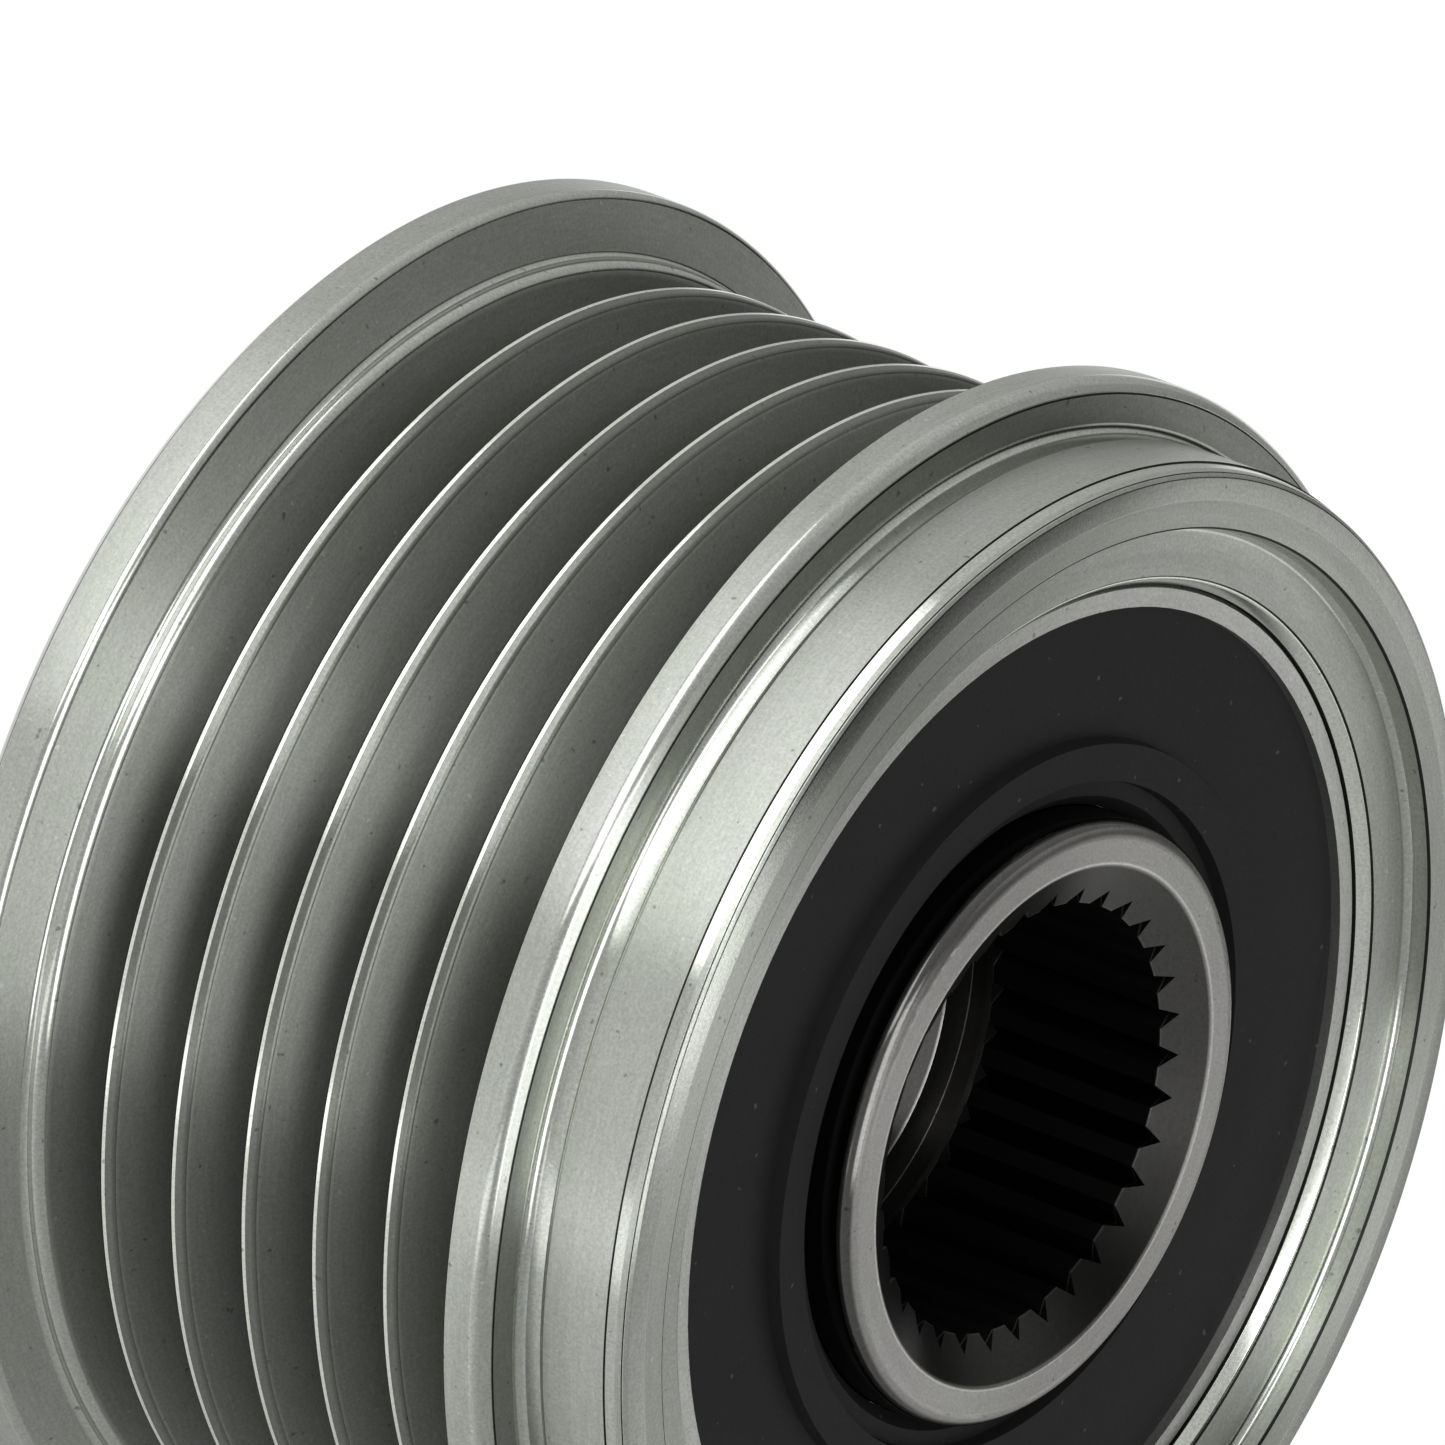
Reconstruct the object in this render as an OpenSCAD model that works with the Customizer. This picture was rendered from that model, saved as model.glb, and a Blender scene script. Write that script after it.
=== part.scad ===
// Overrunning alternator pulley: a grooved outer ring that runs on two ball bearings
// and a roller clutch around a splined and threaded hub. The axis is Z, the front
// faces +Z, and the origin is the middle of the hub's rear face.

/* [Belt grooves] */
// Number of V grooves for the ribbed belt
groove_count = 6; // [4:1:7]
// Distance from one groove to the next
groove_pitch = 3.56; // [3.4:0.02:3.7]
// Angle between the two flanks of a groove
groove_angle = 40; // [37:1:43]
// Wall between the ring's bore and the bottom of the grooves
groove_wall = 1.65; // [1.4:0.05:2.2]
// Width of a rib's tip before its edges are rounded
crest_land = 0.6; // [0.5:0.05:0.8]
// Radius on each edge of a rib's tip
crest_round = 0.25; // [0.15:0.05:0.3]
// Radius at the bottom of a groove
root_round = 0.45; // [0.4:0.05:0.6]
// Height of the two lands beside the flanges above the rib tips
end_land_h = 0.15; // [0.05:0.05:0.25]
// Radius between those lands and the outermost grooves
end_round = 0.5; // [0.3:0.05:0.6]

/* [Flanges] */
// Height of the rear flange above the rib tips
rear_flange_h = 2.6; // [1.9:0.05:3.6]
// Height of the front flange above the rib tips
front_flange_h = 2.45; // [1.9:0.05:3.6]
// Width of the rear flange at its rim
rear_flange_w = 2.35; // [1.8:0.05:3.5]
// Width of the front flange at its rim
front_flange_w = 2.05; // [1.5:0.05:3]
// Slope of the flange flanks beside the belt
flank_angle = 20; // [15:0.5:32]
// Radius at the foot of those flanks
flank_round = 0.25; // [0.1:0.05:0.3]
// Land between the rear flank and the first groove
rear_land = 0.71; // [0.6:0.01:0.9]
// Land between the last groove and the front flank
front_land = 0.61; // [0.6:0.01:0.9]
// Chamfer on the edges of the flanges that face away from the belt
flange_chamfer = 0.5; // [0.1:0.05:0.6]
// Radius on the outer edges of the flanges
flange_round = 0.45; // [0.1:0.05:0.6]

/* [Nose] */
// Length from the front flange to the front rim
nose_length = 5.25; // [4.6:0.05:7]
// Width of the neck between flange and nose
neck_w = 0.85; // [0.75:0.05:1.2]
// Depth of the neck below the nose
neck_depth = 0.2; // [0.1:0.05:0.4]
// Radius between the front flange and the neck
neck_round = 0.7; // [0.2:0.05:0.7]
// Length of the slope from the neck up to the nose
shoulder_length = 0.35; // [0.3:0.05:0.8]
// Radius where that slope meets the nose
shoulder_round = 1; // [0.5:0.1:1.5]
// Length of the bevel at the front of the nose
bevel_length = 0.95; // [0.5:0.05:1.4]
// Depth of that bevel
bevel_depth = 0.2; // [0.15:0.05:0.5]
// Radius between the bevel and the front rim
bevel_round = 0.25; // [0.1:0.05:0.3]
// Width of the flat front rim
rim_w = 1.2; // [0.8:0.05:1.5]
// Width of the rim's sloped outer part
rim_slope_w = 1.1; // [0.8:0.05:1.4]
// Drop of that sloped part
rim_slope = 0.12; // [0.05:0.01:0.3]
// Width of the flat floor of the front recess
recess_floor_w = 2.3; // [1.6:0.05:2.6]
// Depth of the recess
recess_depth = 1.1; // [0.7:0.05:1.5]
// Radius on the inner edge of the rim
rim_round = 0.15; // [0.05:0.05:0.2]
// Radius between the recess wall and its floor
recess_round = 0.4; // [0.2:0.05:0.6]

/* [Ring bore] */
// Diameter of the bore that holds the bearings
ring_bore_d = 44; // [43.2:0.1:44.4]
// Width of the pressed edge round the mouth of the bore
mouth_bevel = 0.45; // [0.35:0.05:0.8]
// Radius on the outer side of that edge
bevel_crown = 0.3; // [0.1:0.05:0.4]
// Depth of the rear bearing below the rear face
rear_setback = 1.6; // [1.2:0.1:2.2]
// Depth of the front bearing below the recess floor
front_setback = 0.6; // [0.4:0.05:0.9]

/* [Hub] */
// Width of the hub's front face, from the lead-in cone to its outside
hub_face_w = 1.73; // [1.4:0.01:2.2]
// Height of the hub's front face above the bearing's face
hub_front_stand = 1.31; // [0.8:0.01:2.5]
// Height of the ring's rear face above the hub's rear face
hub_rear_stand = 1.5; // [0.8:0.1:3]
// Radius on the hub's outer front edge
hub_round = 0.7; // [0.3:0.05:0.9]
// Chamfer on the hub's outer rear edge
hub_chamfer = 0.4; // [0.2:0.05:0.8]

/* [Serration] */
// Number of teeth in the serration for the splined tool
tooth_count = 33; // [24:1:36]
// Diameter inside the tips of the teeth
tooth_tip_d = 17.86; // [17.4:0.02:18.2]
// Depth of the valleys between the teeth
tooth_depth = 0.74; // [0.6:0.02:0.9]
// Angle of the V between two teeth
tooth_angle = 64; // [50:1:70]
// Length of the serration from the lead-in to its blind end
serration_length = 8.4; // [6:0.1:10]
// Width of the lead-in cone in front of the teeth
mouth_w = 1.94; // [1.4:0.02:2.2]
// Depth of the lead-in cone down to the tips
mouth_depth = 1.12; // [0.8:0.02:1.6]
// Radius on the mouth of the lead-in cone
mouth_round = 0.2; // [0.05:0.05:0.3]
// Length of the ring that closes the valleys at the blind end
blind_land = 0.25; // [0.15:0.05:0.5]
// Length of the undercut behind the serration
relief_length = 1.4; // [0.8:0.05:2]
// Step from the bottom of the valleys out to the undercut
relief_step = 0.13; // [0.05:0.01:0.3]

/* [Thread and seat] */
// Minor diameter of the M16 x 1.5 shaft thread
thread_minor_d = 14.376; // [14.2:0.002:14.6]
// Depth of the countersink at the front of the thread
thread_entry = 1; // [0.5:0.05:1.4]
// Diameter of the bore that centres the hub on the shaft
seat_bore_d = 17; // [16.2:0.1:17.6]
// Length of the centring bore
seat_length = 9; // [5:0.5:11]
// Chamfer at the mouth of the centring bore
seat_chamfer = 0.6; // [0.3:0.05:1]

/* [Ball bearings] */
// Width of the outer races
outer_race_w = 8.6; // [8.4:0.1:9.4]
// Width of the inner races, which end below the seal lips
inner_race_w = 6.9; // [6.5:0.1:7]
// Diameter of the balls
ball_d = 5; // [4.6:0.1:5.2]
// Number of balls in each bearing
ball_count = 13; // [9:1:13]
// Groove radius as a share of the ball diameter
conformity = 0.516; // [0.51:0.002:0.54]
// Running play between balls and races
ball_play = 0.02; // [0.01:0.01:0.05]
// Height of a race shoulder above the groove bottom
shoulder_height = 0.72; // [0.5:0.02:0.9]
// Chamfer on the corners of the races
race_chamfer = 0.15; // [0.05:0.05:0.25]
// Thickness of the pressed sheet of the ball cages
cage_sheet = 0.45; // [0.3:0.05:0.5]
// Radial width of the ball cages
cage_band = 2; // [1.6:0.1:2.4]
// Play of a ball in its cage pocket
pocket_play = 0.12; // [0.05:0.01:0.16]
// Diameter of a cage rivet
rivet_d = 0.8; // [0.5:0.05:0.9]
// Diameter of the rivet heads
rivet_head_d = 1.3; // [1:0.05:1.4]
// Height of a rivet head
rivet_head_h = 0.3; // [0.2:0.05:0.4]

/* [Seals] */
// Width of the outer race's face around a seal plate
race_face_w = 0.94; // [0.8:0.02:1.3]
// Depth of the counterbore that holds a seal plate
seal_depth = 0.9; // [0.8:0.05:1]
// Drop from the race's face to the seal plate
seal_drop = 0.45; // [0.2:0.05:0.5]
// Width of the raised ring near the seal's lip
seal_ring_w = 1.73; // [1:0.02:2.5]
// Height of the raised ring above the race's face
seal_ring_h = 0.15; // [0.05:0.05:0.3]
// Slope of the raised ring's two sides, as a width
seal_ring_slope = 0.1; // [0.05:0.01:0.2]
// Distance from the hub to the raised ring
seal_lip_reach = 1.25; // [1:0.05:1.6]
// Width of the flat part between the raised ring and the lip
seal_web_w = 0.7; // [0.5:0.05:0.8]
// Height of the lip where it runs on the hub
seal_lip_w = 0.35; // [0.2:0.05:0.5]
// Running clearance between the lip and the hub
lip_clearance = 0.05; // [0.02:0.01:0.1]
// Depth of the lip below the seal face
lip_drop = 1.35; // [1.1:0.05:1.4]

/* [Roller clutch] */
// Wall of the clutch outer ring
clutch_ring_w = 2.3; // [2:0.05:2.6]
// Number of rollers
roller_count = 12; // [8:1:12]
// Diameter of the rollers
roller_d = 3.6; // [3.4:0.05:3.8]
// Length of the rollers
roller_length = 9.6; // [6:0.1:9.8]
// Play between a roller and the two faces it runs on
roller_play = 0.02; // [0.01:0.01:0.04]
// Slope of the ramps under the rollers
ramp_angle = 6; // [4:0.5:9]
// Height of the cam lands beside the ramps above the ramp's middle
cam_land = 0.85; // [0.6:0.05:1]
// Length of a ramp ahead of the roller
ramp_ahead = 2.2; // [2:0.05:2.5]
// Length of a ramp behind the roller
ramp_behind = 3.6; // [3.3:0.05:3.8]
// Clearance of the roller cage from the rings beside it
cage_clearance = 0.05; // [0.03:0.01:0.1]
// Gap between the roller cage and the clutch outer ring
cage_gap = 0.4; // [0.3:0.05:0.6]
// Width of the rings at the ends of the roller cage
cage_end = 1; // [0.7:0.05:1.2]
// Thickness of the folded spring strip
spring_t = 0.15; // [0.1:0.01:0.2]
// Number of legs in a folded spring
spring_legs = 4; // [2:2:6]
// Width of a spring strip along the axis
spring_w = 7; // [4:0.1:8]
// Play at the two ends of a spring
spring_play = 0.03; // [0.02:0.01:0.06]

/* [Hidden] */

$fn = 96;
steel = [0.63, 0.63, 0.60];
bright_steel = [0.75, 0.75, 0.74];
brass_tone = [0.72, 0.62, 0.38];
black_rubber = [0.13, 0.13, 0.13];
dark_polymer = [0.28, 0.24, 0.18];
over = 1;
corner_overlap = 0.04;

// Radii of the grooved ring, from its bore outward
ring_bore_r = ring_bore_d / 2;
groove_half_w = (groove_pitch - crest_land) / 2;
groove_depth = groove_half_w / tan(groove_angle / 2);
root_depth = groove_depth - root_round / sin(groove_angle / 2) + root_round;
crest_r = ring_bore_r + groove_wall + root_depth;
end_land_r = crest_r + end_land_h;
rear_flange_r = crest_r + rear_flange_h;
front_flange_r = crest_r + front_flange_h;
mouth_r = ring_bore_r + mouth_bevel;
recess_r = mouth_r + recess_floor_w;
rim_r = recess_r + rim_w;
nose_r = rim_r + rim_slope_w + bevel_depth;
neck_r = nose_r - neck_depth;

// Heights of the grooved ring, from rear to front
ring_rear_z = hub_rear_stand;
rear_flank_run = (rear_flange_r - end_land_r) * tan(flank_angle);
front_flank_run = (front_flange_r - end_land_r) * tan(flank_angle);
end_groove_half_w = groove_half_w + end_land_h * tan(groove_angle / 2);
low_land_z = ring_rear_z + rear_flange_w + rear_flank_run;
first_groove_z = low_land_z + rear_land + end_groove_half_w;
last_groove_z = first_groove_z + (groove_count - 1) * groove_pitch;
high_land_z = last_groove_z + end_groove_half_w + front_land;
front_flange_z = high_land_z + front_flank_run;
neck_z = front_flange_z + front_flange_w;
nose_z = neck_z + neck_w;
front_z = neck_z + nose_length;
recess_z = front_z - recess_depth;

// Places of the bearings and the clutch between them
rear_face_z = ring_rear_z + rear_setback;
front_face_z = recess_z - front_setback;
clutch_low_z = rear_face_z + outer_race_w;
clutch_high_z = front_face_z - outer_race_w;
clutch_mid_z = (clutch_low_z + clutch_high_z) / 2;

// Hub, from the teeth outward
minor_r = thread_minor_d / 2;
seat_r = seat_bore_d / 2;
tip_r = tooth_tip_d / 2;
root_r = tip_r + tooth_depth;
relief_r = root_r + relief_step;
cone_r = tip_r + mouth_w;
hub_r = cone_r + hub_face_w;
hub_top_z = front_face_z + hub_front_stand;
lead_in_z = hub_top_z - mouth_depth;
blind_z = lead_in_z - serration_length;
relief_z = blind_z - blind_land - relief_length;

// Ball bearings
ball_r = ball_d / 2;
pitch_r = (hub_r + ring_bore_r) / 2;
race_groove_r = conformity * ball_d;
inner_groove_r = pitch_r - ball_r - ball_play;
outer_groove_r = pitch_r + ball_r + ball_play;
inner_shoulder_r = inner_groove_r + shoulder_height;
outer_shoulder_r = outer_groove_r - shoulder_height;
ball_drop = outer_race_w / 2;
pocket_r = ball_r + pocket_play;

// Seals
seal_r = ring_bore_r - race_face_w;
seal_lip_r = hub_r + seal_lip_reach;
seal_ring_r = seal_lip_r + seal_ring_w;

// Roller clutch
clutch_race_r = ring_bore_r - clutch_ring_w;
roller_r = roller_d / 2;
roller_centre_r = clutch_race_r - roller_r - roller_play;
ramp_r = roller_centre_r - roller_r - roller_play;
cam_r = ramp_r + cam_land;
roller_cage_in_r = cam_r + cage_clearance;
roller_cage_out_r = clutch_race_r - cage_gap;
roller_cage_length = roller_length + 2 * cage_clearance + 2 * cage_end;
spring_gap = ramp_behind - roller_r - spring_play * 2 - cage_clearance;
spring_low_r = roller_cage_in_r + cage_clearance;
spring_high_r = roller_cage_out_r - cage_clearance;

// One rounded corner: the sliver between a corner and the arc of radius r that is
// tangent to both of its edges, with a little overlap behind the corner. p is the
// corner, a and b are points on the two edges.
module corner_sliver(a, p, b, r) {
    u = (a - p) / norm(a - p);
    v = (b - p) / norm(b - p);
    half = acos(u * v) / 2;
    reach = r / tan(half);
    middle = p + (u + v) / norm(u + v) * r / sin(half);
    difference() {
        polygon([
            p + u * reach,
            p + u * reach - v * corner_overlap,
            p - (u + v) * corner_overlap,
            p + v * reach - u * corner_overlap,
            p + v * reach
        ]);
        translate(middle) circle(r = r);
    }
}

// Half section of one belt groove, cut from the rib tips inward
module groove_section() {
    half = groove_angle / 2;
    centre_depth = groove_depth - root_round / sin(half);
    foot_depth = centre_depth + root_round * sin(half);
    foot_half = root_round * cos(half);
    mouth_half = groove_half_w + over * tan(half);
    polygon([
        [crest_r + over, -mouth_half],
        [crest_r + over, mouth_half],
        [crest_r - foot_depth, foot_half],
        [crest_r - foot_depth, -foot_half]
    ]);
    translate([crest_r - centre_depth, 0]) circle(r = root_round);
}

// Rounded edge of a groove. z is the groove's middle, side is -1 for its rear edge
// and 1 for its front edge, and the outermost two edges are on the higher lands.
module groove_edge(z, side) {
    is_end = side < 0 ? z < first_groove_z + over : z > last_groove_z - over;
    edge_r = is_end ? end_land_r : crest_r;
    half_w = is_end ? end_groove_half_w : groove_half_w;
    land = [edge_r, z + side * (half_w + over)];
    corner = [edge_r, z + side * half_w];
    bottom = [crest_r - groove_depth, z];
    corner_sliver(
        side < 0 ? land : bottom,
        corner,
        side < 0 ? bottom : land,
        is_end ? end_round : crest_round
    );
}

// Outline of the grooved ring before the grooves are cut
module ring_blank() {
    rear_rim = [rear_flange_r, ring_rear_z + rear_flange_w];
    rear_foot = [end_land_r, low_land_z];
    first_land = [end_land_r, first_groove_z];
    last_land = [end_land_r, last_groove_z];
    front_foot = [end_land_r, high_land_z];
    front_rim = [front_flange_r, front_flange_z];
    front_edge = [front_flange_r, neck_z - flange_chamfer];
    front_edge_end = [front_flange_r - flange_chamfer, neck_z];
    neck_corner = [neck_r, neck_z];
    neck_end = [neck_r, nose_z];
    nose_start = [nose_r, nose_z + shoulder_length];
    bevel_start = [nose_r, front_z - bevel_length];
    bevel_end = [rim_r + rim_slope_w, front_z - rim_slope];
    rim_outer = [rim_r, front_z];
    rim_inner = [recess_r, front_z];
    floor_corner = [recess_r, recess_z];
    floor_end = [mouth_r, recess_z];
    mouth = [ring_bore_r, front_face_z];
    difference() {
        union() {
            polygon([
                [ring_bore_r, ring_rear_z + mouth_bevel],
                [mouth_r, ring_rear_z],
                [rear_flange_r - flange_chamfer, ring_rear_z],
                [rear_flange_r, ring_rear_z + flange_chamfer],
                rear_rim,
                rear_foot,
                first_land,
                [crest_r, first_groove_z],
                [crest_r, last_groove_z],
                last_land,
                front_foot,
                front_rim,
                front_edge,
                front_edge_end,
                neck_corner,
                neck_end,
                nose_start,
                bevel_start,
                bevel_end,
                rim_outer,
                rim_inner,
                floor_corner,
                floor_end,
                mouth
            ]);
            corner_sliver(first_land, rear_foot, rear_rim, flank_round);
            corner_sliver(front_rim, front_foot, last_land, flank_round);
            corner_sliver(neck_end, neck_corner, [neck_r + over, neck_z], neck_round);
            corner_sliver(floor_end, floor_corner, rim_inner, recess_round);
        }
        corner_sliver([rear_flange_r, ring_rear_z], rear_rim, rear_foot, flange_round);
        corner_sliver(front_rim, front_edge, front_edge_end, flange_round);
        corner_sliver(neck_end, nose_start, bevel_start, shoulder_round);
        corner_sliver(bevel_start, bevel_end, rim_outer, bevel_round);
        corner_sliver(rim_outer, rim_inner, floor_corner, rim_round);
        corner_sliver(floor_corner, floor_end, mouth, bevel_crown);
    }
}

// Outer ring with the belt grooves, both flanges, the neck and the recessed nose
module pulley_ring() {
    color(steel)
        rotate_extrude()
            difference() {
                ring_blank();
                for (i = [0 : groove_count - 1]) {
                    z = first_groove_z + i * groove_pitch;
                    translate([0, z]) groove_section();
                    groove_edge(z, -1);
                    groove_edge(z, 1);
                }
            }
}

// Half section of the hub without its serration
module hub_section() {
    front_out = [hub_r, hub_top_z];
    front_in = [cone_r, hub_top_z];
    cone_end = [tip_r, lead_in_z];
    difference() {
        polygon([
            [seat_r, seat_chamfer],
            [seat_r + seat_chamfer, 0],
            [hub_r - hub_chamfer, 0],
            [hub_r, hub_chamfer],
            front_out,
            front_in,
            cone_end,
            [tip_r, blind_z - blind_land],
            [relief_r, blind_z - blind_land],
            [relief_r, relief_z],
            [minor_r + thread_entry, relief_z],
            [minor_r, relief_z - thread_entry],
            [minor_r, seat_length + seat_r - minor_r],
            [seat_r, seat_length]
        ]);
        corner_sliver([hub_r, 0], front_out, front_in, hub_round);
        corner_sliver(front_out, front_in, cone_end, mouth_round);
    }
}

// The valley between two teeth, as a V that points outward along +X
module valley_section() {
    half_w = (root_r - tip_r + over) * tan(tooth_angle / 2);
    polygon([[root_r, 0], [tip_r - over, half_w], [tip_r - over, -half_w]]);
}

// Hub: bearing seat outside, serration, thread bore and centring bore inside
module hub() {
    color(bright_steel)
        difference() {
            rotate_extrude() hub_section();
            for (i = [0 : tooth_count - 1])
                rotate([0, 0, i * 360 / tooth_count])
                    translate([0, 0, blind_z])
                        linear_extrude(height = serration_length + mouth_depth + over)
                            valley_section();
        }
}

// The bearing modules below describe the front bearing with its outer face at
// z = 0 and its inside toward -Z. place_rear turns the same parts over.
module place_front() {
    translate([0, 0, front_face_z]) children();
}

module place_rear() {
    translate([0, 0, rear_face_z]) mirror([0, 0, 1]) children();
}

// Outer race with its ball groove and the counterbore that holds the seal
module outer_race() {
    color(bright_steel)
        rotate_extrude()
            difference() {
                polygon([
                    [outer_shoulder_r, -outer_race_w + race_chamfer],
                    [outer_shoulder_r + race_chamfer, -outer_race_w],
                    [ring_bore_r - race_chamfer, -outer_race_w],
                    [ring_bore_r, -outer_race_w + race_chamfer],
                    [ring_bore_r, -race_chamfer],
                    [ring_bore_r - race_chamfer, 0],
                    [seal_r, 0],
                    [seal_r, -seal_depth],
                    [outer_shoulder_r, -seal_depth]
                ]);
                translate([outer_groove_r - race_groove_r, -ball_drop]) circle(r = race_groove_r);
            }
}

// Inner race, set back so that the seal lip can reach the hub
module inner_race() {
    low_z = -outer_race_w;
    high_z = inner_race_w - outer_race_w;
    color(bright_steel)
        rotate_extrude()
            difference() {
                polygon([
                    [hub_r, low_z],
                    [inner_shoulder_r - race_chamfer, low_z],
                    [inner_shoulder_r, low_z + race_chamfer],
                    [inner_shoulder_r, high_z - race_chamfer],
                    [inner_shoulder_r - race_chamfer, high_z],
                    [hub_r, high_z]
                ]);
                translate([inner_groove_r + race_groove_r, -ball_drop]) circle(r = race_groove_r);
            }
}

// Puts its child at every ball, turned by a share of one ball spacing
module round_balls(share = 0) {
    for (i = [0 : ball_count - 1])
        rotate([0, 0, (i + share) * 360 / ball_count])
            translate([pitch_r, 0, -ball_drop])
                children();
}

module balls() {
    color(bright_steel) round_balls() sphere(r = ball_r);
}

// One half of the riveted cage: flat lands with a dome over each ball.
// side is 1 for the half toward the seal and -1 for the half toward the clutch.
module cage_half(side) {
    mid_z = -ball_drop;
    dome_r = pocket_r + cage_sheet;
    block_z = side > 0 ? mid_z : mid_z - dome_r;
    color(brass_tone)
        difference() {
            intersection() {
                union() {
                    translate([0, 0, side > 0 ? mid_z : mid_z - cage_sheet])
                        cylinder(r = pitch_r + cage_band, h = cage_sheet);
                    round_balls() sphere(r = dome_r);
                }
                translate([0, 0, block_z])
                    difference() {
                        cylinder(r = pitch_r + cage_band / 2, h = dome_r);
                        translate([0, 0, -over])
                            cylinder(r = pitch_r - cage_band / 2, h = dome_r + 2 * over);
                    }
            }
            round_balls() sphere(r = pocket_r);
            round_balls(0.5)
                translate([0, 0, -cage_sheet - over])
                    cylinder(d = rivet_d, h = 2 * (cage_sheet + over));
        }
}

// Rivets that close the two cage halves between the balls
module cage_rivets() {
    color(bright_steel)
        round_balls(0.5)
            union() {
                translate([0, 0, -cage_sheet]) cylinder(d = rivet_d, h = 2 * cage_sheet);
                for (side = [0, 1])
                    mirror([0, 0, side])
                        translate([0, 0, cage_sheet])
                            cylinder(d1 = rivet_head_d, d2 = rivet_d, h = rivet_head_h);
            }
}

// Seal plate with a raised ring on its face and a lip that runs on the hub
module seal() {
    lip_inner_r = hub_r + lip_clearance;
    lip_low_z = -lip_drop;
    color(black_rubber)
        rotate_extrude()
            polygon([
                [seal_r, -seal_depth],
                [seal_r, -seal_drop],
                [seal_ring_r, -seal_drop],
                [seal_ring_r - seal_ring_slope, seal_ring_h],
                [seal_lip_r + seal_ring_slope, seal_ring_h],
                [seal_lip_r, -seal_drop],
                [seal_lip_r - seal_web_w, -seal_drop],
                [lip_inner_r, lip_low_z + seal_lip_w],
                [lip_inner_r, lip_low_z],
                [seal_lip_r, -seal_depth]
            ]);
}

// Clutch outer ring: a plain raceway for the rollers, pressed between the bearings
module clutch_outer_ring() {
    color(bright_steel)
        translate([0, 0, clutch_low_z])
            difference() {
                cylinder(r = ring_bore_r, h = clutch_high_z - clutch_low_z);
                translate([0, 0, -over])
                    cylinder(r = clutch_race_r, h = clutch_high_z - clutch_low_z + 2 * over);
            }
}

// Puts its child at every roller, with +X along the turn and +Y outward
module round_rollers() {
    for (i = [0 : roller_count - 1])
        rotate([0, 0, i * 360 / roller_count]) children();
}

// Cam ring on the hub: one sloped flat under each roller
module clutch_cam_ring() {
    color(bright_steel)
        translate([0, 0, clutch_low_z])
            linear_extrude(height = clutch_high_z - clutch_low_z)
                difference() {
                    circle(r = cam_r);
                    circle(r = hub_r);
                    round_rollers()
                        translate([0, roller_centre_r])
                            rotate(ramp_angle)
                                translate([-ramp_behind, -roller_r - roller_play])
                                    square([ramp_behind + ramp_ahead, roller_d]);
                }
}

module clutch_rollers() {
    edge = race_chamfer;
    color(bright_steel)
        round_rollers()
            translate([0, roller_centre_r, clutch_mid_z - roller_length / 2]) {
                cylinder(r1 = roller_r - edge, r2 = roller_r, h = edge);
                translate([0, 0, edge]) cylinder(r = roller_r, h = roller_length - 2 * edge);
                translate([0, 0, roller_length - edge])
                    cylinder(r1 = roller_r, r2 = roller_r - edge, h = edge);
            }
}

// Roller cage: two end rings joined by bars, with a window for each roller and spring
module clutch_cage() {
    window_x = cage_clearance - ramp_behind;
    window_w = ramp_behind - cage_clearance + roller_r + cage_clearance;
    window_h = roller_length + 2 * cage_clearance;
    color(dark_polymer)
        difference() {
            translate([0, 0, clutch_mid_z - roller_cage_length / 2])
                linear_extrude(height = roller_cage_length)
                    difference() {
                        circle(r = roller_cage_out_r);
                        circle(r = roller_cage_in_r);
                    }
            round_rollers()
                translate([window_x, cam_r - over, clutch_mid_z - window_h / 2])
                    cube([window_w, clutch_race_r - cam_r + 2 * over, window_h]);
        }
}

// One folded spring that pushes a roller up its ramp
module spring_section() {
    start_x = cage_clearance + spring_play - ramp_behind;
    step = (spring_gap - spring_t) / spring_legs;
    for (i = [0 : spring_legs - 1]) {
        low_x = start_x + i * step;
        bottom_r = i % 2 == 0 ? spring_low_r : spring_high_r;
        top_r = i % 2 == 0 ? spring_high_r : spring_low_r;
        polygon([
            [low_x, bottom_r],
            [low_x + spring_t, bottom_r],
            [low_x + step + spring_t, top_r],
            [low_x + step, top_r]
        ]);
    }
}

module clutch_springs() {
    color(bright_steel)
        round_rollers()
            translate([0, 0, clutch_mid_z - spring_w / 2])
                linear_extrude(height = spring_w) spring_section();
}

pulley_ring();
hub();
place_front() outer_race();  // front_outer_race
place_front() inner_race();  // front_inner_race
place_front() balls();  // front_balls
place_front() cage_half(1);  // front_cage_outer_half
place_front() cage_half(-1);  // front_cage_inner_half
place_front() cage_rivets();  // front_cage_rivets
place_front() seal();  // front_seal
place_rear() outer_race();  // rear_outer_race
place_rear() inner_race();  // rear_inner_race
place_rear() balls();  // rear_balls
place_rear() cage_half(1);  // rear_cage_outer_half
place_rear() cage_half(-1);  // rear_cage_inner_half
place_rear() cage_rivets();  // rear_cage_rivets
place_rear() seal();  // rear_seal
clutch_outer_ring();
clutch_cam_ring();
clutch_rollers();
clutch_cage();
clutch_springs();
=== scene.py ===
import math

import bpy
import numpy as np
from mathutils import Matrix, Vector


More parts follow.
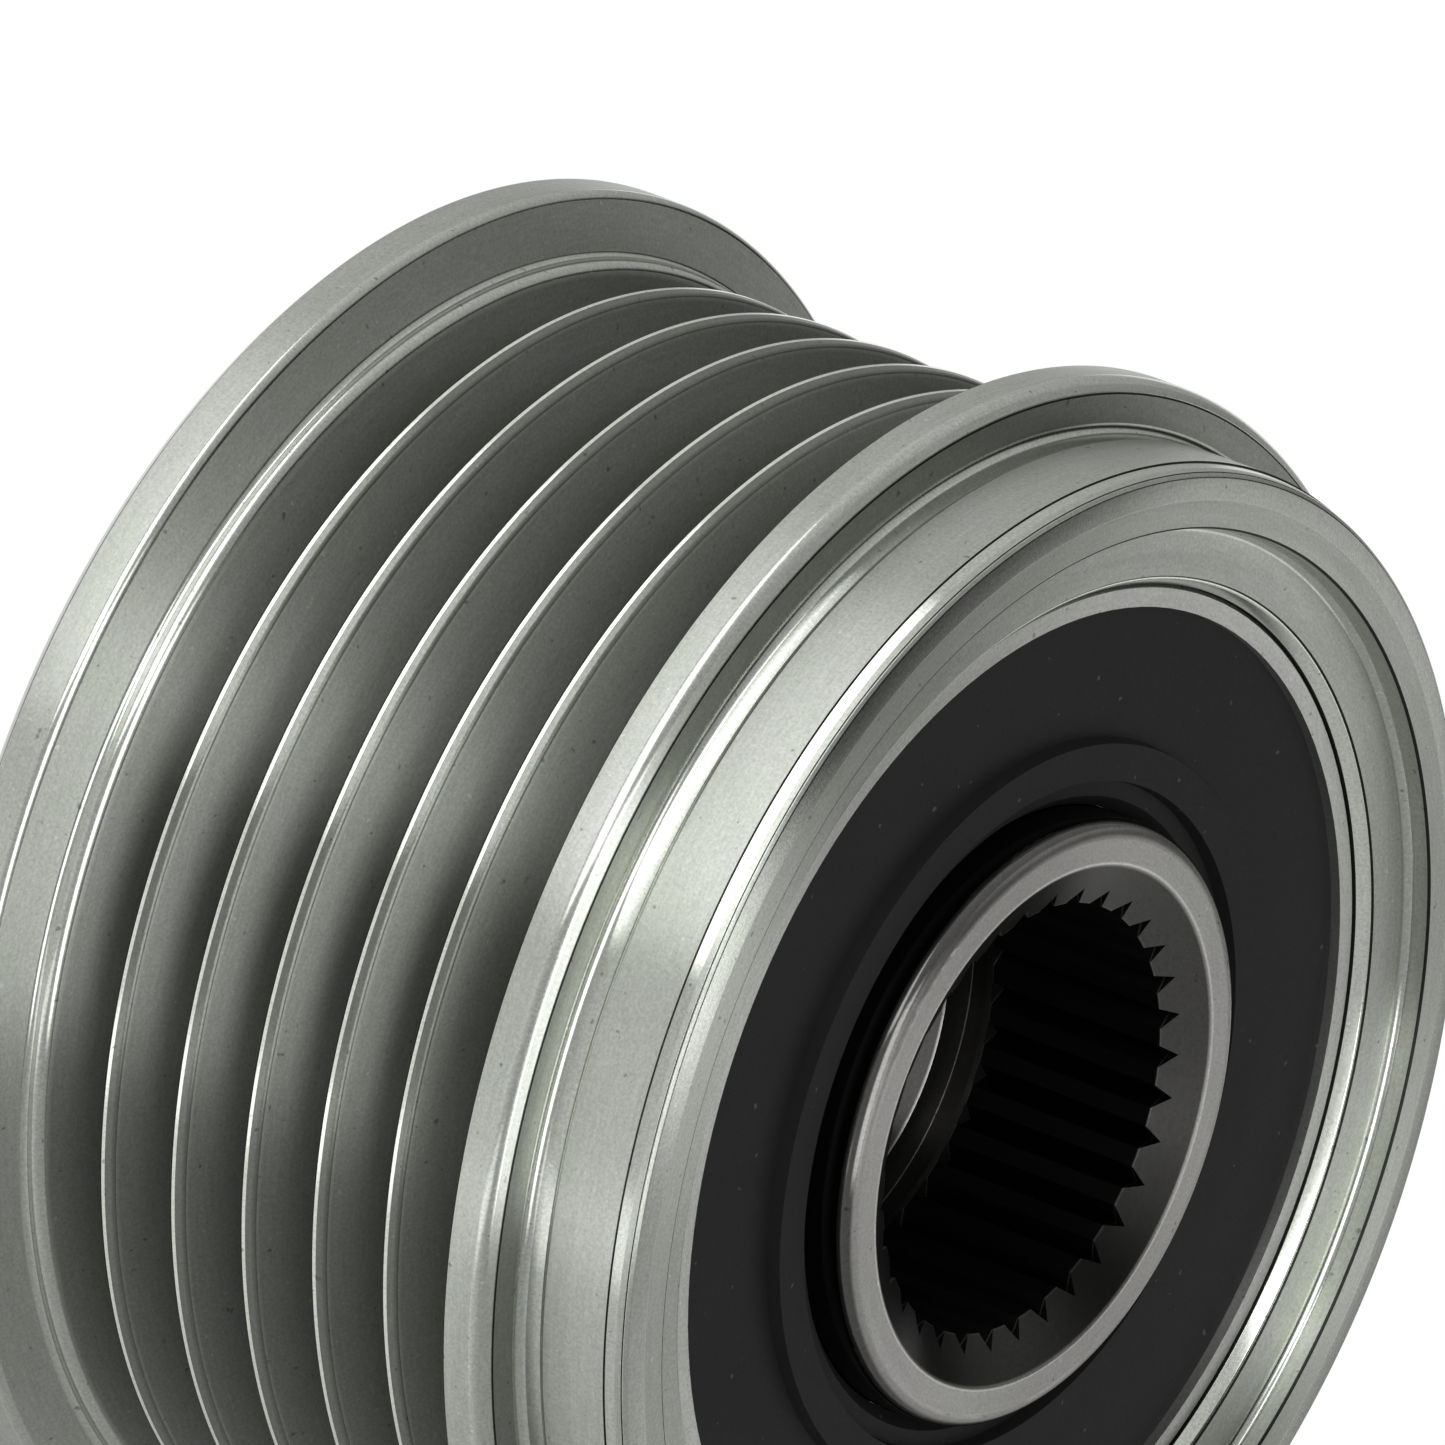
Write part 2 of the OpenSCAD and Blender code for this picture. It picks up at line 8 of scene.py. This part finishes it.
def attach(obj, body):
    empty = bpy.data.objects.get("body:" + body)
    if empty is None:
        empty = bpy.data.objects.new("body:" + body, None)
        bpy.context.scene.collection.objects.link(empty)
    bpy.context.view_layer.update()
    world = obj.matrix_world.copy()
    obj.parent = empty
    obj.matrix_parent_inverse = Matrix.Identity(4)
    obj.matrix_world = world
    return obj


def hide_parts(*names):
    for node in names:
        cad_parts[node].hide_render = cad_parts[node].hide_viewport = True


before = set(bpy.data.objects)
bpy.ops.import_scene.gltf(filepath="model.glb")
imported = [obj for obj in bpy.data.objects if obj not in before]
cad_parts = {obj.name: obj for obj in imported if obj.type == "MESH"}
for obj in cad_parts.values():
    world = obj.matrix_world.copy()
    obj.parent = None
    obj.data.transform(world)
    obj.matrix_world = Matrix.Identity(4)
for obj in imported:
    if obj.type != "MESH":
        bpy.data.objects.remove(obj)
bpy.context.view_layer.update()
MM = 0.001


# Camera

CAMERA_AT = Vector((24.82, -810.32, 542.64)) * MM
CAMERA_RIGHT = Vector((-0.37098, 0.49629, 0.78490))
CAMERA_BACK = Vector((0.03650, -0.83672, 0.54640))
CAMERA_LENS = 604.07


def add_camera():
    back = CAMERA_BACK.normalized()
    right = (CAMERA_RIGHT - CAMERA_RIGHT.dot(back) * back).normalized()
    up = back.cross(right)
    data = bpy.data.cameras.new("photo_camera")
    data.lens = CAMERA_LENS
    data.sensor_width = 36
    data.clip_start = 0.01
    data.clip_end = 10
    camera = bpy.data.objects.new("photo_camera", data)
    turn = Matrix((right, up, back)).transposed().to_4x4()
    camera.matrix_world = Matrix.Translation(CAMERA_AT) @ turn
    bpy.context.scene.collection.objects.link(camera)
    bpy.context.scene.camera = camera
    return right, up, back


RIGHT, UP, BACK = add_camera()


# Node helpers

class Nodes:
    """Small helper that adds shader nodes and links their sockets."""

    def __init__(self, tree):
        self.tree = tree
        tree.nodes.clear()

    def add(self, kind, **settings):
        node = self.tree.nodes.new(kind)
        for key, value in settings.items():
            setattr(node, key, value)
        return node

    def put(self, socket, value):
        if isinstance(value, bpy.types.NodeSocket):
            self.tree.links.new(value, socket)
        elif isinstance(value, (tuple, list)) and len(value) == 3 and socket.type == "RGBA":
            socket.default_value = (*value, 1)
        else:
            socket.default_value = value

    def math(self, operation, a, b=None, c=None, clamp=False):
        node = self.add("ShaderNodeMath", operation=operation, use_clamp=clamp)
        for k, value in enumerate((a, b, c)):
            if value is not None:
                self.put(node.inputs[k], value)
        return node.outputs[0]

    def join(self, x, y, z):
        node = self.add("ShaderNodeCombineXYZ")
        for socket, value in zip(node.inputs, (x, y, z)):
            self.put(socket, value)
        return node.outputs[0]

    def noise(self, vector, scale, detail=2, rough=0.5, w=None, distortion=0):
        node = self.add("ShaderNodeTexNoise", noise_dimensions="3D" if w is None else "4D")
        self.put(node.inputs["Vector"], vector)
        if w is not None:
            self.put(node.inputs["W"], w)
        node.inputs["Scale"].default_value = scale
        node.inputs["Detail"].default_value = detail
        node.inputs["Roughness"].default_value = rough
        node.inputs["Distortion"].default_value = distortion
        return node.outputs["Fac"]

    def remap(self, value, low, high, to_low=0.0, to_high=1.0, smooth=False):
        node = self.add("ShaderNodeMapRange", clamp=True)
        if smooth:
            node.interpolation_type = "SMOOTHSTEP"
        for k, v in enumerate((value, low, high, to_low, to_high)):
            self.put(node.inputs[k], v)
        return node.outputs[0]

    def mix(self, factor, a, b, blend="MIX"):
        node = self.add("ShaderNodeMix", data_type="RGBA", blend_type=blend)
        self.put(node.inputs[0], factor)
        self.put(node.inputs[6], a)
        self.put(node.inputs[7], b)
        return node.outputs[2]

    def mix_value(self, factor, a, b):
        node = self.add("ShaderNodeMix", data_type="FLOAT")
        for k, value in enumerate((factor, a, b)):
            self.put(node.inputs[("Factor", "A", "B")[k]], value)
        return node.outputs[0]

    def scale(self, vector, factor):
        node = self.add("ShaderNodeVectorMath", operation="SCALE")
        self.put(node.inputs[0], vector)
        self.put(node.inputs[3], factor)
        return node.outputs[0]

    def band(self, value, low, high, edge=0.02):
        rising = self.remap(value, low - edge, low + edge)
        falling = self.remap(value, high - edge, high + edge, 1.0, 0.0)
        return self.math("MULTIPLY", rising, falling)

    def bump(self, height, distance, normal=None):
        node = self.add("ShaderNodeBump")
        node.inputs["Strength"].default_value = 1
        node.inputs["Distance"].default_value = distance
        self.put(node.inputs["Height"], height)
        if normal is not None:
            self.put(node.inputs["Normal"], normal)
        return node.outputs[0]


def new_material(name):
    material = bpy.data.materials.new(name)
    material.use_nodes = True
    n = Nodes(material.node_tree)
    shader = n.add("ShaderNodeBsdfPrincipled")
    output = n.add("ShaderNodeOutputMaterial")
    n.tree.links.new(shader.outputs[0], output.inputs[0])
    return material, n, shader


def round_axis(n):
    """Position in millimetres, the distance from the axis, and the turn as a unit pair."""
    position = n.add("ShaderNodeTexCoord").outputs["Object"]
    scaled = n.add("ShaderNodeVectorMath", operation="SCALE")
    n.put(scaled.inputs[0], position)
    scaled.inputs[3].default_value = 1000
    parts = n.add("ShaderNodeSeparateXYZ")
    n.put(parts.inputs[0], scaled.outputs[0])
    x, y, z = parts.outputs
    radius = n.math("SQRT", n.math("ADD", n.math("MULTIPLY", x, x), n.math("MULTIPLY", y, y)))
    safe = n.math("MAXIMUM", radius, 0.01)
    return scaled.outputs[0], radius, z, n.math("DIVIDE", x, safe), n.math("DIVIDE", y, safe)


# Light

# Soft boxes of the studio: turn from the camera toward its right, height above it, soft edge, strength
PANELS = [
    ((-44, -3), (18, 90), 3, 2.25),
    ((8, 34), (-38, 14), 5, 2.9),
    ((-70, -29), (-28, -16), 3, 0.64),
    ((109, 131), (-31, -5), 4, 0.60),
    ((84, 103), (-23, -17.5), 2, 1.6),
    ((54, 138), (-22, 15), 6, -0.42),
]
# Direction in the camera's axes (right, up, back), sharpness and strength of each soft glow
GLOWS = [
    ((0, 1, 0), 3, 0.28),
    ((-1, 0, 0), 3, 0.54),
    ((-0.870, 0.391, -0.300), 12, -0.60),
]
AMBIENT = 0.372


def add_world():
    world = bpy.data.worlds.new("studio")
    world.use_nodes = True
    bpy.context.scene.world = world
    n = Nodes(world.node_tree)
    direction = n.add("ShaderNodeTexCoord").outputs["Generated"]

    def along(toward):
        dot = n.add("ShaderNodeVectorMath", operation="DOT_PRODUCT")
        n.put(dot.inputs[0], direction)
        dot.inputs[1].default_value = toward
        return dot.outputs["Value"]

    right, up, back = along(RIGHT), along(UP), along(BACK)
    turn = n.math("DEGREES", n.math("ARCTAN2", right, back))
    height = n.math("DEGREES", n.math("ARCSINE", up))

    def between(value, low, high, edge):
        rising = n.remap(value, low - edge, low + edge, smooth=True)
        falling = n.remap(value, high - edge, high + edge, 1.0, 0.0, smooth=True)
        return n.math("MULTIPLY", rising, falling)

    total = AMBIENT
    for (left, end), (low, high), edge, strength in PANELS:
        share = n.math("MULTIPLY", between(turn, left, end, edge), between(height, low, high, edge))
        total = n.math("MULTIPLY_ADD", share, strength, total)
    for (x, y, z), sharpness, strength in GLOWS:
        falling = n.math("MULTIPLY_ADD", along(x * RIGHT + y * UP + z * BACK), sharpness, -sharpness)
        total = n.math("MULTIPLY_ADD", n.math("EXPONENT", falling), strength, total)
    total = n.math("MAXIMUM", total, 0.02)
    # The white backdrop fills the view and shows in metal where it stands behind the object
    backdrop = n.remap(back, -0.86, -0.96, smooth=True)
    total = n.mix_value(backdrop, total, 1.0)
    rays = n.add("ShaderNodeLightPath").outputs
    mirrored = n.math("ADD", rays["Is Glossy Ray"], rays["Is Transmission Ray"], clamp=True)
    white = n.math("ADD", rays["Is Camera Ray"], n.math("MULTIPLY", mirrored, backdrop), clamp=True)
    background = n.add("ShaderNodeBackground")
    n.put(background.inputs["Color"], (1, 1, 1))
    n.put(background.inputs["Strength"], n.mix_value(white, total, 1.0))
    output = n.add("ShaderNodeOutputWorld")
    n.tree.links.new(background.outputs[0], output.inputs[0])
    world.cycles.sampling_method = "MANUAL"
    world.cycles.sample_map_resolution = 1024


add_world()


# Sizes of the ring

PITCH = 3.56
HALF = 1.48
CREST = 26.85
LAND = 27.0
FLANK = math.tan(math.radians(20))
GROOVE = math.tan(math.radians(20))
LOW_LAND = 1.5 + 2.35 + (29.45 - LAND) * FLANK
END_HALF = HALF + (LAND - CREST) * GROOVE
FIRST = LOW_LAND + 0.71 + END_HALF
LAST = FIRST + 5 * PITCH
HIGH_LAND = LAST + END_HALF + 0.61
FRONT_FLANK = HIGH_LAND + (29.3 - LAND) * FLANK
NECK = FRONT_FLANK + 2.05
FRONT = NECK + 5.2499
RECESS = FRONT - 1.1
SEAL_FACE = RECESS - 0.6


# Materials

def turned_metal(name, base, rough, stretch, line_depth, grain_depth, regions=None):
    """Turned metal with fine rings from the tool, a slight grain and uneven plating."""
    material, n, shader = new_material(name)
    position, radius, z, cos_t, sin_t = round_axis(n)
    around = n.join(radius, z, n.math("MULTIPLY", cos_t, 2.0))
    turn = n.math("MULTIPLY", sin_t, 2.0)
    lines = n.noise(around, 9.0, detail=4, rough=0.65, w=turn)
    bands = n.noise(around, 1.6, detail=2, rough=0.5, w=turn)
    grain = n.noise(position, 7.5, detail=3, rough=0.65)
    cloud = n.noise(position, 0.25, detail=3, rough=0.55)
    tint = n.mix(n.remap(cloud, 0.35, 0.65), base, tuple(c * k for c, k in zip(base, (0.98, 1.0, 0.96))))
    shade = n.remap(grain, 0.28, 0.72, 0.84, 1.15)
    shade = n.math("MULTIPLY", shade, n.remap(lines, 0.3, 0.7, 0.93, 1.07))
    pits = n.noise(position, 2.6, detail=1, rough=0.4)
    shade = n.math("MULTIPLY", shade, n.remap(pits, 0.20, 0.26, 0.55, 1.0))
    shade = n.math("MULTIPLY", shade, n.remap(pits, 0.76, 0.80, 1.0, 1.25))
    roughness = n.remap(bands, 0.3, 0.7, rough - 0.03, rough + 0.03)
    rough_skin = 1.0
    if regions is not None:
        shade, roughness, rough_skin = regions(n, radius, z, shade, roughness)
    n.put(shader.inputs["Base Color"], n.scale(tint, shade))
    shader.inputs["Metallic"].default_value = 1
    n.put(shader.inputs["Roughness"], roughness)
    shader.inputs["Anisotropic"].default_value = stretch
    shader.inputs["Anisotropic Rotation"].default_value = 0.25
    tangent = n.add("ShaderNodeTangent", direction_type="RADIAL", axis="Z")
    n.put(shader.inputs["Tangent"], tangent.outputs[0])
    height = n.bump(n.math("MULTIPLY", lines, rough_skin), line_depth * MM)
    n.put(shader.inputs["Normal"], n.bump(n.math("MULTIPLY", grain, rough_skin), grain_depth * MM, height))
    return material


def ring_regions(n, radius, z, shade, roughness):
    """Polished edges and fillets, rougher plating in the grooves and on the rear flank, painted shade that deepens
    down the grooves and on the flange's front face, and painted shade lines and painted highlights from the edge
    attribute.
    """
    edge = n.add("ShaderNodeAttribute", attribute_type="GEOMETRY", attribute_name="edge")
    parts = n.add("ShaderNodeSeparateXYZ")
    n.put(parts.inputs[0], edge.outputs["Vector"])
    polish, painted_shade, painted_highlight = parts.outputs
    flank = n.math("MULTIPLY", n.band(radius, 27.25, 29.2), n.remap(z, 4.75, 4.8, 1.0, 0.0))
    groove = n.math("MULTIPLY", n.remap(radius, 26.45, 26.75, 1.0, 0.0), n.band(z, 4.9, 26.7))
    # Painted shade: the grooves' colour darkens with depth below the crests
    depth = n.remap(radius, 26.6, 23.9, 0.60, 0.42)
    # Painted shade on the front face of the front flange beside the neck
    face = n.math("MULTIPLY", n.band(radius, 27.55, 28.74), n.band(z, NECK - 0.08, NECK + 0.08))
    roughness = n.mix_value(n.math("MAXIMUM", groove, flank), roughness, 0.48)
    roughness = n.mix_value(polish, roughness, SHINE)
    tone = n.mix_value(groove, 1.0, depth)
    tone = n.mix_value(face, tone, 0.62)
    # Painted highlight: brightens the crest tops and the crimp ring
    tone = n.mix_value(painted_highlight, tone, 1.5)
    # Painted shade: near-black lines at creases, the seal seam, the rim's inner edge and beside each crest
    tone = n.mix_value(painted_shade, tone, 0.06)
    return n.math("MULTIPLY", shade, tone), roughness, n.mix_value(polish, 1.0, 0.12)


def hub_regions(n, radius, z, shade, roughness):
    """Ground outer wall with a painted dark reflection, satin front face with a painted highlight on its inner lip,
    darkened lead-in cone and dark serration.
    """
    wall = n.remap(radius, 12.24, 12.36)
    roughness = n.mix_value(wall, roughness, 0.12)
    inside = n.remap(radius, 10.72, 10.82, 1.0, 0.0)
    lip = n.band(radius, 10.84, 10.96)
    cone = n.math("MULTIPLY", inside, n.remap(z, 33.5, 33.6))
    bore = n.math("MULTIPLY", inside, n.remap(z, 33.5, 33.6, 1.0, 0.0))
    end = n.math("MULTIPLY", inside, n.remap(z, 25.16, 25.2, 1.0, 0.0))
    relief = n.math("MULTIPLY", n.remap(radius, 9.0, 9.2), n.band(z, 23.53, 24.9))
    deep = n.math("MULTIPLY", inside, n.remap(radius, 8.1, 8.25, 1.0, 0.0))
    # Painted reflection: the ground outer wall is darkened as if mirroring the black seal
    tone = n.mix_value(wall, 0.82, 0.24)
    # Painted highlight on the lip of the lead-in cone
    tone = n.mix_value(lip, tone, 1.25)
    tone = n.mix_value(cone, tone, 0.2)
    tone = n.mix_value(bore, tone, 0.012)
    tone = n.mix_value(end, tone, 0.6)
    tone = n.mix_value(relief, tone, 0.04)
    tone = n.mix_value(deep, tone, 0.05)
    roughness = n.mix_value(bore, roughness, 0.6)
    roughness = n.mix_value(n.math("MAXIMUM", cone, end), roughness, 0.22)
    return n.math("MULTIPLY", shade, tone), roughness, n.mix_value(wall, 1.0, 0.1)


def plain_metal(name, base, rough):
    """Ground or pressed metal of the inner pieces."""
    material, n, shader = new_material(name)
    position, radius, z, cos_t, sin_t = round_axis(n)
    fine = n.noise(position, 6.0, detail=3, rough=0.6)
    broad = n.noise(position, 0.8, detail=2)
    shade = n.remap(broad, 0.3, 0.7, 0.93, 1.05)
    scaled = n.add("ShaderNodeVectorMath", operation="SCALE")
    scaled.inputs[0].default_value = base
    n.put(scaled.inputs[3], shade)
    n.put(shader.inputs["Base Color"], scaled.outputs[0])
    shader.inputs["Metallic"].default_value = 1
    n.put(shader.inputs["Roughness"], n.remap(fine, 0.3, 0.7, rough - 0.04, rough + 0.05))
    n.put(shader.inputs["Normal"], n.bump(fine, 0.002 * MM))
    return material


def matt_black(name, base, rough, specular, grain_depth):
    """Moulded rubber or polymer with a fine matt skin."""
    material, n, shader = new_material(name)
    position, radius, z, cos_t, sin_t = round_axis(n)
    fine = n.noise(position, 9.0, detail=3, rough=0.6)
    cloud = n.noise(position, 0.35, detail=3, rough=0.6)
    color = n.mix(n.remap(cloud, 0.35, 0.65), base, tuple(c * 1.15 for c in base))
    dust = n.noise(position, 2.2, detail=1, rough=0.4)
    color = n.mix(n.remap(dust, 0.775, 0.80), color, tuple(c * 6 for c in base))
    n.put(shader.inputs["Base Color"], color)
    n.put(shader.inputs["Roughness"], n.remap(fine, 0.3, 0.7, rough - 0.05, rough + 0.05))
    shader.inputs["Specular IOR Level"].default_value = specular
    n.put(shader.inputs["Normal"], n.bump(fine, grain_depth * MM))
    return material


SHINE = 0.13
PLATED = turned_metal("plated_steel", (0.60, 0.620, 0.575), 0.32, 0.97, 0.0012, 0.0022, ring_regions)
HUB = turned_metal("hub_steel", (0.605, 0.59, 0.58), 0.34, 0.6, 0.001, 0.001, hub_regions)
RACE = turned_metal("race_steel", (0.64, 0.645, 0.62), 0.30, 0.8, 0.001, 0.001)
BEARING = plain_metal("bearing_steel", (0.70, 0.70, 0.69), 0.15)
CAGE = plain_metal("cage_steel", (0.58, 0.56, 0.50), 0.4)
SPRING = plain_metal("spring_steel", (0.48, 0.48, 0.48), 0.3)
SEAL = matt_black("seal_rubber", (0.0105, 0.0107, 0.0112), 0.6, 0.3, 0.004)
POLYMER = matt_black("cage_polymer", (0.16, 0.13, 0.09), 0.5, 0.5, 0.003)

FINISH = {
    "pulley_ring": PLATED,
    "hub": HUB,
    "front_outer_race": RACE,
    "rear_outer_race": RACE,
    "front_seal": SEAL,
    "rear_seal": SEAL,
    "front_cage_outer_half": CAGE,
    "front_cage_inner_half": CAGE,
    "front_cage_rivets": CAGE,
    "rear_cage_outer_half": CAGE,
    "rear_cage_inner_half": CAGE,
    "rear_cage_rivets": CAGE,
    "clutch_cage": POLYMER,
    "clutch_springs": SPRING,
}


def smooth(mesh, angle=30):
    mesh.shade_smooth()
    mesh.set_sharp_from_angle(angle=math.radians(angle))


for name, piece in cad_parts.items():
    piece.data.materials.clear()
    piece.data.materials.append(FINISH.get(name, BEARING))


# Turned shapes

# Finish of a surface as polish, painted shade and painted highlight
TURNED = (0, 0, 0)
SHINY = (1, 0, 0)
# Painted shade lines
PAINTED_SHADE_LINE = (0, 1, 0)
# Polished, with a painted highlight
SHINY_PAINTED_HIGHLIGHT = (1, 0, 1)
# Partly polished, with painted shade over the front part of each crest
HALF_PAINTED_SHADE = (0.4, 0.65, 0)
# Mostly polished, with a slight painted highlight on the rim
RIM = (0.8, 0, 0.15)


def rounded(points, step_angle=9):
    """A closed outline of (r, z, radius, finish of its curve, finish of the run after it)
    corners, with each corner rounded. Returns the points and the finish of each edge."""
    out, finish = [], []
    count = len(points)
    for i, corner in enumerate(points):
        r, z, fillet = corner[:3]
        curve = corner[3] if len(corner) > 3 else SHINY
        after = corner[4] if len(corner) > 4 else TURNED
        p = np.array([r, z], float)
        a = np.array(points[i - 1][:2], float) - p
        b = np.array(points[(i + 1) % count][:2], float) - p
        a /= np.linalg.norm(a)
        b /= np.linalg.norm(b)
        half = math.acos(max(-1, min(1, float(a @ b)))) / 2
        if fillet <= 0 or half > math.radians(89.5):
            out.append(p)
            finish.append(after)
            continue
        middle = p + (a + b) / np.linalg.norm(a + b) * fillet / math.sin(half)
        start = p + a * fillet / math.tan(half) - middle
        end = p + b * fillet / math.tan(half) - middle
        a0 = math.atan2(start[1], start[0])
        sweep = (math.atan2(end[1], end[0]) - a0 + math.pi) % (2 * math.pi) - math.pi
        steps = max(2, int(math.ceil(abs(math.degrees(sweep)) / step_angle)))
        for k in range(steps + 1):
            t = a0 + sweep * k / steps
            out.append(middle + fillet * np.array([math.cos(t), math.sin(t)]))
            finish.append(after if k == steps else curve)
    return out, finish


def lathe(name, outline, finish, segments=360):
    """A closed mesh of revolution from an outline in millimetres."""
    count = len(outline)
    turn = np.linspace(0, 2 * math.pi, segments, endpoint=False)
    r = np.array([p[0] for p in outline]) * MM
    z = np.array([p[1] for p in outline]) * MM
    verts = np.stack([
        np.outer(np.cos(turn), r), np.outer(np.sin(turn), r), np.tile(z, (segments, 1))
    ], -1).reshape(-1, 3)
    faces = []
    for s in range(segments):
        t = (s + 1) % segments
        for k in range(count):
            m = (k + 1) % count
            faces.append((s * count + k, s * count + m, t * count + m, t * count + k))
    mesh = bpy.data.meshes.new(name)
    mesh.from_pydata(verts.tolist(), [], faces)
    mesh.attributes.new("edge", "FLOAT_VECTOR", "FACE").data.foreach_set(
        "vector", np.tile(np.array(finish, float).ravel(), segments))
    mesh.update()
    piece = bpy.data.objects.new(name, mesh)
    bpy.context.scene.collection.objects.link(piece)
    volume = sum(f.center.dot(f.normal) * f.area for f in mesh.polygons)
    if volume < 0:
        mesh.flip_normals()
    smooth(mesh, 28)
    return piece


def ring_outline():
    # Corners with painted shade lines give the dark creases, seal seam and rim edge; painted highlights brighten the
    # crest tops and the crimp ring.
    points = [
        (22, 1.95, 0.03), (22.45, 1.5, 0.1), (28.95, 1.5, 0.08, SHINY, SHINY), (29.45, 2.0, 0.12),
        (29.45, 3.85, 0.45), (LAND, LOW_LAND, 0.3), (LAND, FIRST - END_HALF, 0.5),
    ]
    apex = CREST - HALF / GROOVE
    for i in range(6):
        middle = FIRST + i * PITCH
        if i > 0:
            points.append((CREST - 0.13, middle - HALF, 0.25, HALF_PAINTED_SHADE))
        points.append((apex, middle, 0.45, TURNED))
        if i < 5:
            points.append((CREST, middle + HALF + 0.02, 0.1, PAINTED_SHADE_LINE, SHINY_PAINTED_HIGHLIGHT))
            points.append((CREST - 0.035, middle + HALF + 0.24, 0.12, SHINY_PAINTED_HIGHLIGHT, HALF_PAINTED_SHADE))
    points += [
        (LAND, LAST + END_HALF, 0.3, PAINTED_SHADE_LINE), (LAND, HIGH_LAND, 0.25, TURNED), (29.3, FRONT_FLANK, 0.08, PAINTED_SHADE_LINE),
        (29.3, NECK - 0.48, 0.75), (28.84, NECK - 0.02, 0.03), (28.78, NECK - 0.04, 0.02, PAINTED_SHADE_LINE, PAINTED_SHADE_LINE),
        (28.72, NECK, 0.02, PAINTED_SHADE_LINE), (27.19, NECK, 0.42, SHINY, SHINY), (27.04, NECK + 0.98, 0.02, PAINTED_SHADE_LINE),
        (27.25, NECK + 1.12, 0.3), (27.25, FRONT - 1.0, 0.01, PAINTED_SHADE_LINE, PAINTED_SHADE_LINE),
        (27.18, FRONT - 0.96, 0.01, PAINTED_SHADE_LINE, SHINY), (27.11, FRONT - 0.54, 0.2, SHINY),
        (27.03, FRONT - 0.30, 0.02, SHINY, PAINTED_SHADE_LINE), (26.99, FRONT - 0.27, 0.01, PAINTED_SHADE_LINE), (26.99, FRONT - 0.22, 0.02), (26.85, FRONT - 0.11, 0.15, SHINY, RIM),
        (25.95, FRONT, 0.3, RIM), (24.75, FRONT, 0.1, PAINTED_SHADE_LINE), (24.75, RECESS, 0.4), (22.50, RECESS, 0.02, PAINTED_SHADE_LINE, PAINTED_SHADE_LINE),
        (22.46, RECESS - 0.07, 0.01, PAINTED_SHADE_LINE, SHINY), (22.40, RECESS - 0.02, 0.12, SHINY_PAINTED_HIGHLIGHT, SHINY_PAINTED_HIGHLIGHT),
        (22.04, SEAL_FACE + 0.06, 0.03, SHINY_PAINTED_HIGHLIGHT, PAINTED_SHADE_LINE), (22.03, SEAL_FACE - 0.2, 0, PAINTED_SHADE_LINE, PAINTED_SHADE_LINE),
        (22, SEAL_FACE - 0.25, 0),
    ]
    return rounded(points)


ring = lathe("pulley_ring_turned", *ring_outline(), 480)
ring.data.materials.append(PLATED)
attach(ring, "pulley")
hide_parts("pulley_ring")


# Closing lines

scene = bpy.context.scene
scene.view_settings.view_transform = "Standard"
